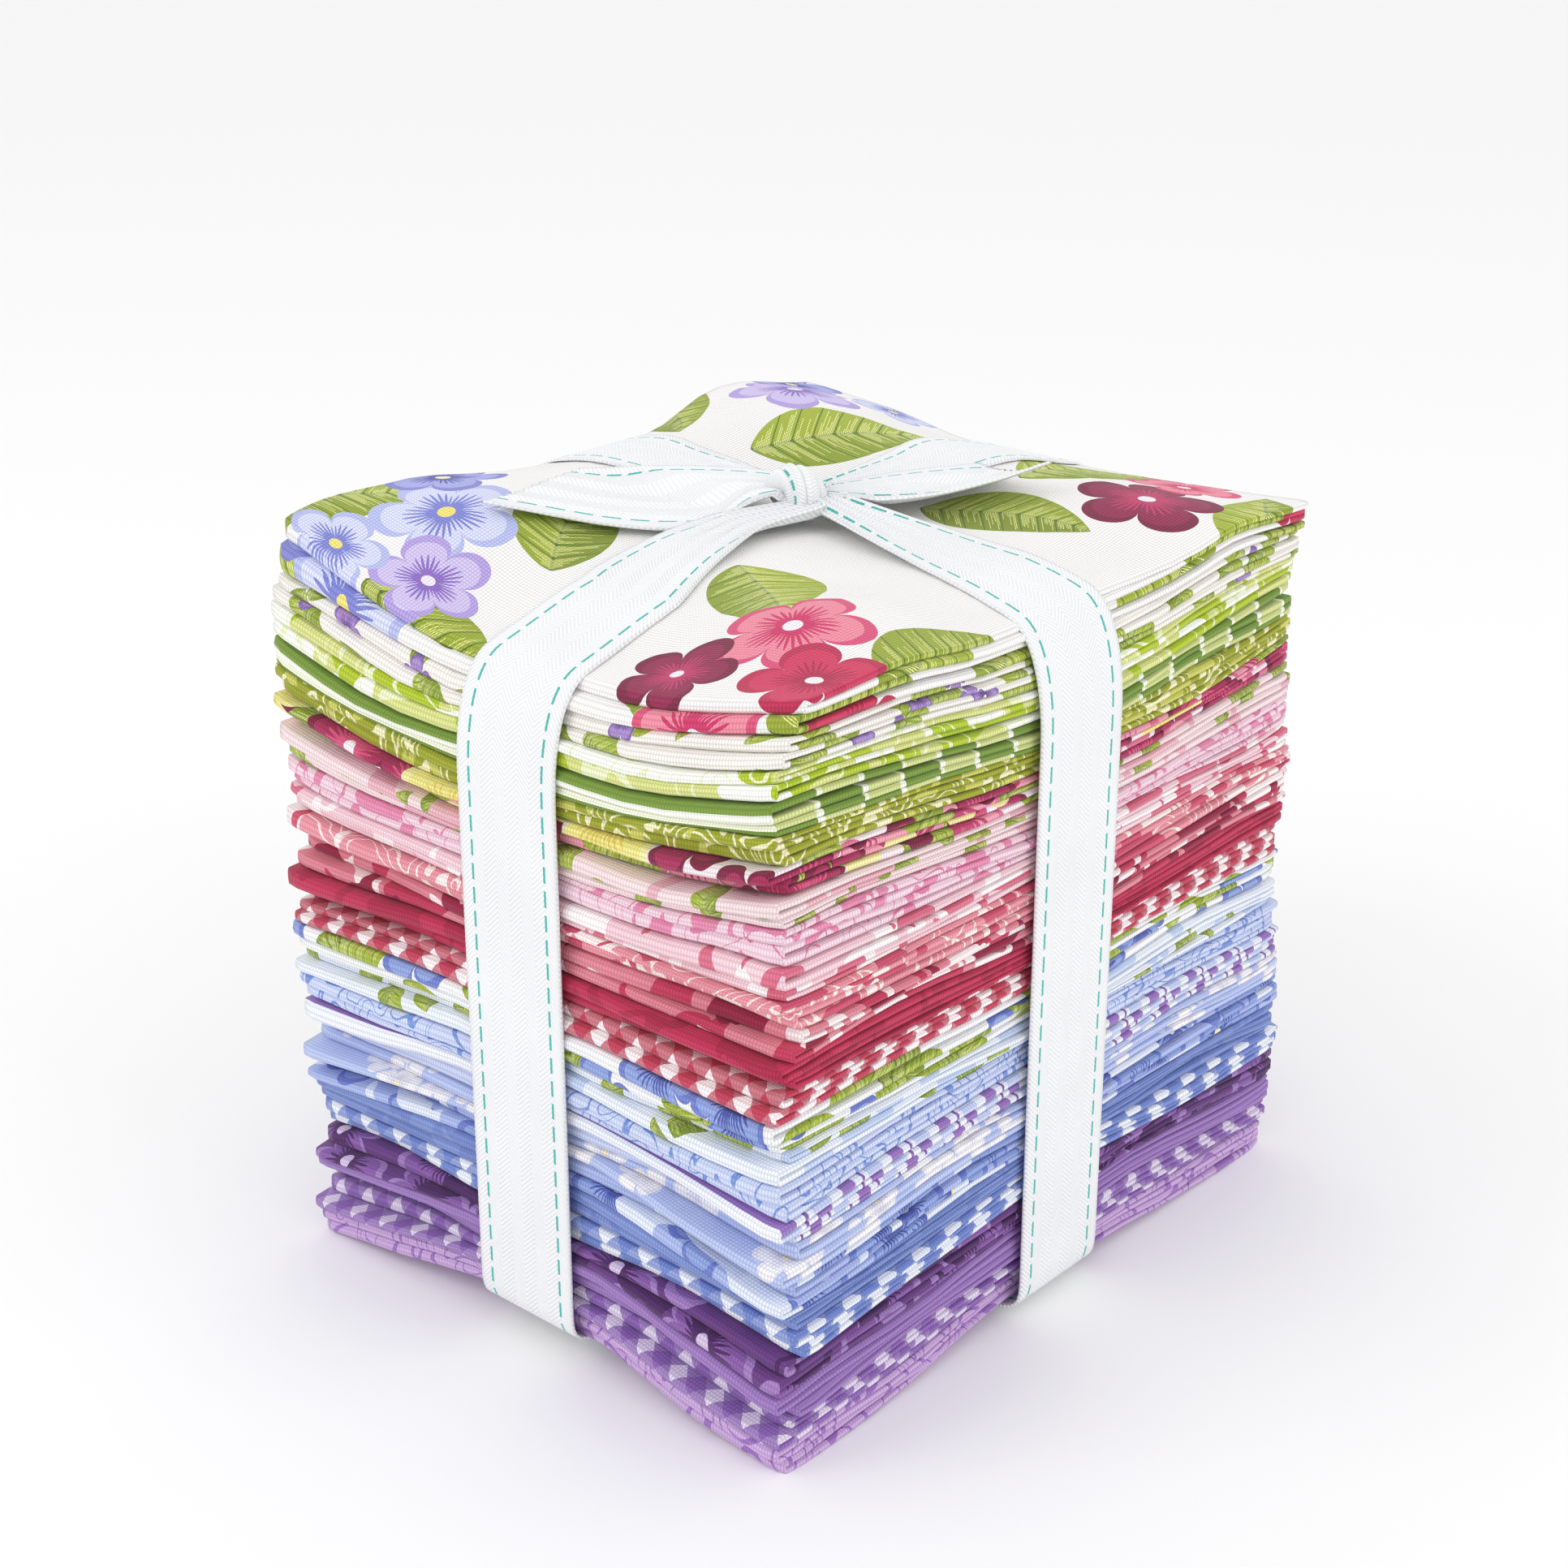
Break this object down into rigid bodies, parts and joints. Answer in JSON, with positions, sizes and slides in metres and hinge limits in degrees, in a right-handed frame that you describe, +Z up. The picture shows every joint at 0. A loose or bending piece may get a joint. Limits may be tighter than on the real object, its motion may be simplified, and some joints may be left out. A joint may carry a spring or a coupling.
{
  "type": "fat quarter bundle",
  "caption": "Stack of folded quilting cotton fat quarters in printed colours, tied crosswise with a twill ribbon knotted on top.",
  "frame": {"origin": "middle of the bundle's footprint, on the surface it rests on", "axes": "+Z up; +X across the folded quarters' short side, towards the side where each panel shows its ply folds; +Y along their long side, towards the free ends; the picture looks from between +X and -Y"},
  "size_m": [0.1182, 0.1448, 0.1406],
  "materials": {
    "fat_quarter_01": "matte printed plain-weave cotton",
    "fat_quarter_02": "matte printed plain-weave cotton",
    "fat_quarter_03": "matte printed plain-weave cotton",
    "fat_quarter_04": "matte printed plain-weave cotton",
    "fat_quarter_05": "matte printed plain-weave cotton",
    "fat_quarter_06": "matte printed plain-weave cotton",
    "fat_quarter_07": "matte printed plain-weave cotton",
    "fat_quarter_08": "matte printed plain-weave cotton",
    "fat_quarter_09": "matte printed plain-weave cotton",
    "fat_quarter_10": "matte printed plain-weave cotton",
    "fat_quarter_11": "matte printed plain-weave cotton",
    "fat_quarter_12": "matte printed plain-weave cotton",
    "fat_quarter_13": "matte printed plain-weave cotton",
    "fat_quarter_14": "matte printed plain-weave cotton",
    "fat_quarter_15": "matte printed plain-weave cotton",
    "fat_quarter_16": "matte printed plain-weave cotton",
    "fat_quarter_17": "matte printed plain-weave cotton",
    "fat_quarter_18": "matte printed plain-weave cotton",
    "fat_quarter_19": "matte printed plain-weave cotton",
    "fat_quarter_20": "matte printed plain-weave cotton",
    "fat_quarter_21": "matte printed plain-weave cotton",
    "fat_quarter_22": "matte printed plain-weave cotton",
    "fat_quarter_23": "matte printed plain-weave cotton",
    "fat_quarter_24": "matte printed plain-weave cotton",
    "fat_quarter_25": "matte printed plain-weave cotton",
    "ribbon": "matte cotton twill tape"
  },
  "bodies": {
    "root": {"fat_quarter_01": "fat_quarter_01", "fat_quarter_02": "fat_quarter_02", "fat_quarter_03": "fat_quarter_03", "fat_quarter_04": "fat_quarter_04", "fat_quarter_05": "fat_quarter_05", "fat_quarter_06": "fat_quarter_06", "fat_quarter_07": "fat_quarter_07", "fat_quarter_08": "fat_quarter_08", "fat_quarter_09": "fat_quarter_09", "fat_quarter_10": "fat_quarter_10", "fat_quarter_11": "fat_quarter_11", "fat_quarter_12": "fat_quarter_12", "fat_quarter_13": "fat_quarter_13", "fat_quarter_14": "fat_quarter_14", "fat_quarter_15": "fat_quarter_15", "fat_quarter_16": "fat_quarter_16", "fat_quarter_17": "fat_quarter_17", "fat_quarter_18": "fat_quarter_18", "fat_quarter_19": "fat_quarter_19", "fat_quarter_20": "fat_quarter_20", "fat_quarter_21": "fat_quarter_21", "fat_quarter_22": "fat_quarter_22", "fat_quarter_23": "fat_quarter_23", "fat_quarter_24": "fat_quarter_24", "fat_quarter_25": "fat_quarter_25", "ribbon": "ribbon"}
  },
  "joints": []
}
